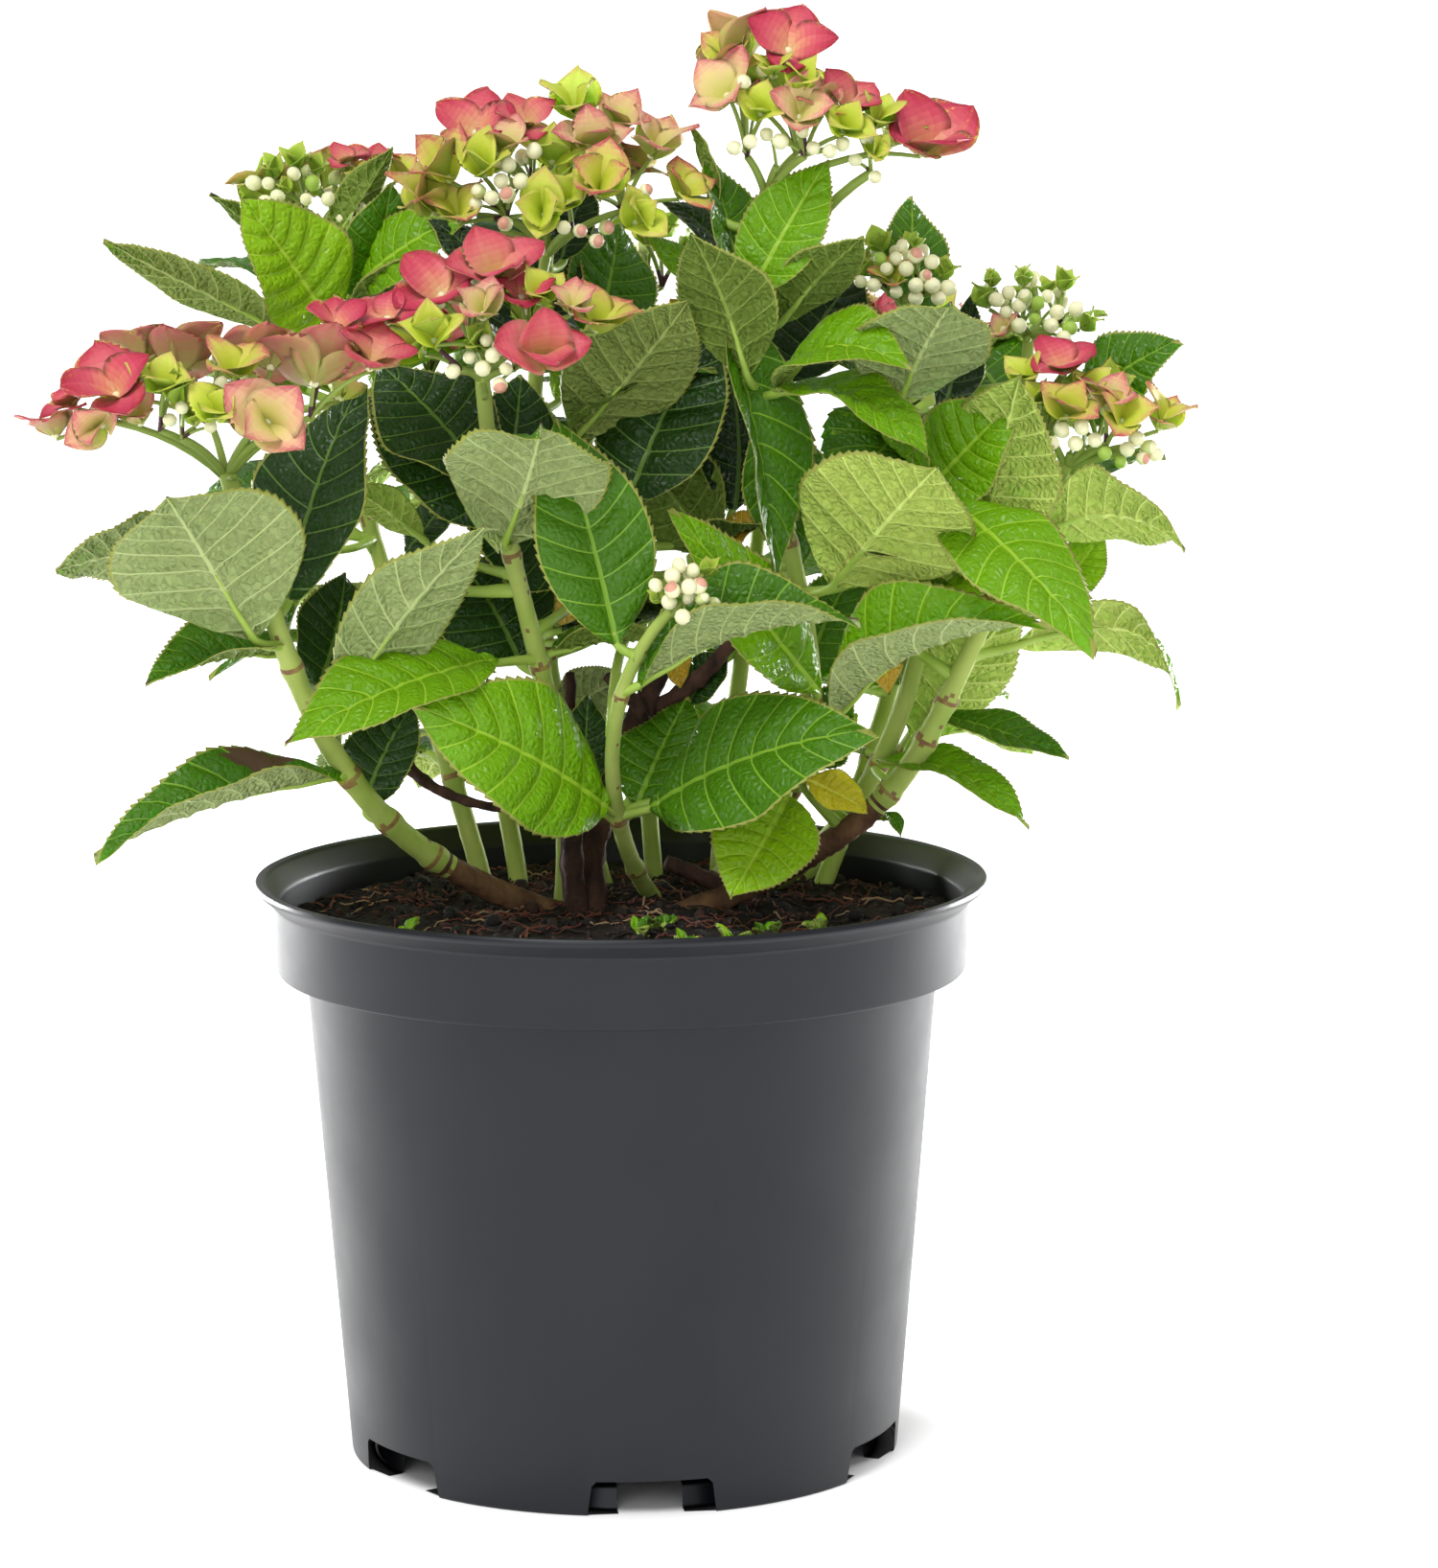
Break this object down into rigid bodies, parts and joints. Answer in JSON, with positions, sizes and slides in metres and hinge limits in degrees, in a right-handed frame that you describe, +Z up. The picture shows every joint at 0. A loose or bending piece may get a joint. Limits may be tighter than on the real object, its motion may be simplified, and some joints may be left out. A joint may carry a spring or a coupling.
{
  "type": "potted hydrangea shrub",
  "caption": "Lacecap hydrangea shrub in flower, with leafy green shoots rising from old wood, growing in a round black nursery pot filled with compost.",
  "frame": {"origin": "centre of the pot's flat underside, on the ground", "axes": "+Z up along the pot's axis, +X to the plant's right as seen from the front, -Y towards the front"},
  "size_m": [0.359, 0.2658, 0.4564],
  "materials": {
    "pot_plastic": "charcoal moulded plastic, satin, lightly scuffed",
    "compost": "moist dark peat compost with fibres and crumbs",
    "stem_green": "smooth green shoot with brown node rings",
    "bark": "rough dark brown bark on old wood",
    "leaf_green": "veined leaves, glossy green above and matt grey-green below",
    "bloom_rose": "rose and crimson sepals with lime centres",
    "bloom_lime": "lime and peach sepals with rose edges",
    "bud_cream": "clusters of round cream buds"
  },
  "bodies": {
    "root": {"compost": "compost", "flowers_centre_back": "bud_cream", "flowers_centre_left": "bloom_rose", "flowers_far_right": "bud_cream", "flowers_front_buds": "bud_cream", "flowers_left": "bloom_rose", "flowers_rear_centre": "bloom_lime", "flowers_rear_left": "bloom_rose", "flowers_rear_right": "bloom_rose", "flowers_right": "bloom_lime", "flowers_right_buds": "bud_cream", "flowers_top_right": "bloom_lime", "flowers_upper_centre": "bloom_lime", "flowers_upper_left": "bloom_lime", "leaves_back_centre": "leaf_green", "leaves_back_centre_low": "leaf_green", "leaves_back_far_left": "leaf_green", "leaves_back_left": "leaf_green", "leaves_back_left_low": "leaf_green", "leaves_back_right": "leaf_green", "leaves_back_right_low": "leaf_green", "leaves_centre": "leaf_green", "leaves_centre_left": "leaf_green", "leaves_centre_right": "leaf_green", "leaves_core": "leaf_green", "leaves_far_right": "leaf_green", "leaves_far_right_top": "leaf_green", "leaves_front_drip": "leaf_green", "leaves_front_left": "leaf_green", "leaves_front_low_left": "leaf_green", "leaves_front_low_right": "leaf_green", "leaves_inner": "leaf_green", "leaves_left_inner": "leaf_green", "leaves_left_shoulder": "leaf_green", "leaves_left_side": "leaf_green", "leaves_left_skirt": "leaf_green", "leaves_right_inner": "leaf_green", "leaves_right_low": "leaf_green", "leaves_right_mid": "leaf_green", "leaves_right_skirt": "leaf_green", "leaves_right_tip": "leaf_green", "leaves_right_upper": "leaf_green", "leaves_top_right": "leaf_green", "leaves_upper_left": "leaf_green", "leaves_upper_left_tip": "leaf_green", "old_wood": "bark", "pot": "pot_plastic", "stem_back_right": "stem_green", "stem_centre_back": "stem_green", "stem_centre_left": "stem_green", "stem_front": "stem_green", "stem_left": "stem_green", "stem_rear_centre": "stem_green", "stem_rear_left": "stem_green", "stem_rear_right": "stem_green", "stem_right_inner": "stem_green", "stem_right_outer": "stem_green", "stem_tall": "stem_green", "stem_upper_centre": "stem_green", "stem_upper_left": "stem_green"}
  },
  "joints": []
}
